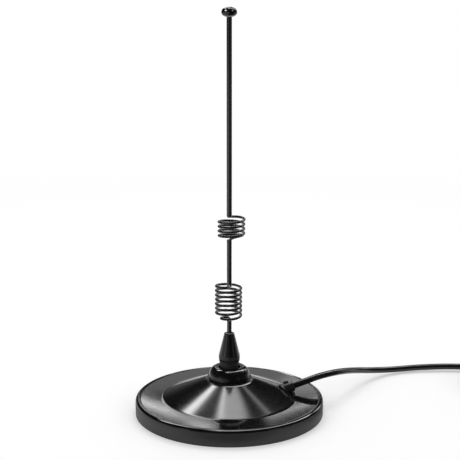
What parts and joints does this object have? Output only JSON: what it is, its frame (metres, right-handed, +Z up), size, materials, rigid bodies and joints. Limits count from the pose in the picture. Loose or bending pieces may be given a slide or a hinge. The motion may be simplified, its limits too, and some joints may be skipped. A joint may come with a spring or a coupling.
{
  "type": "magnetic mount antenna",
  "caption": "Whip antenna on a round magnet base with a low cone, dome collar and coil-wound whip, and a thin coax lead, tied in a coil, to a threaded connector.",
  "frame": {"origin": "centre of the base's underside, on the surface the base stands on", "axes": "+Z up along the whip, +X towards the side where the cable leaves the cone, -Y towards the viewer of the picture"},
  "size_m": [0.2276, 0.1049, 0.1899],
  "materials": {
    "cover_lacquer": "gloss black lacquer on a die-cast shell",
    "boot_rubber": "matte black",
    "pad_rubber": "thin matte protective disc",
    "ferrite": "sintered dark grey",
    "plate_steel": "zinc plated",
    "stud_brass": "turned",
    "tag_metal": "tinned",
    "bush_plastic": "natural",
    "gasket_rubber": "satin black",
    "dome_plastic": "gloss black",
    "ferrule_black": "satin black plating on turned brass",
    "wire_black": "black coated spring steel",
    "sleeve_black": "satin black",
    "knob_plastic": "gloss black",
    "gland_rubber": "satin black",
    "cable_jacket": "satin black jacket",
    "lead_copper": "bare copper",
    "tie_plastic": "matte black",
    "connector_nickel": "nickel plated brass",
    "connector_white": "white insulator",
    "contact_gold": "gold plated"
  },
  "bodies": {
    "root": {"base_pad": "pad_rubber", "rubber_boot": "boot_rubber", "base_cover": "cover_lacquer", "ring_magnet": "ferrite", "magnet_plate": "plate_steel", "contact_stud": "stud_brass", "stud_nut": "stud_brass", "lock_washer": "plate_steel", "centre_tag": "tag_metal", "earth_tag": "tag_metal", "insulator_bush": "bush_plastic", "collar_gasket": "gasket_rubber", "dome_collar": "dome_plastic", "whip_ferrule": "ferrule_black", "radiator_wire": "wire_black", "lower_sleeve": "sleeve_black", "middle_sleeve": "sleeve_black", "upper_sleeve": "sleeve_black", "tip_knob": "knob_plastic", "cable_gland": "gland_rubber", "cable_tail": "cable_jacket", "core_lead": "lead_copper", "braid_lead": "lead_copper", "cable_run": "cable_jacket", "cable_coil": "cable_jacket", "coil_ties": "tie_plastic", "connector_boot": "gland_rubber", "crimp_ferrule": "connector_nickel", "connector_body": "connector_nickel", "connector_insulator": "connector_white", "connector_contact": "contact_gold"}
  },
  "joints": []
}
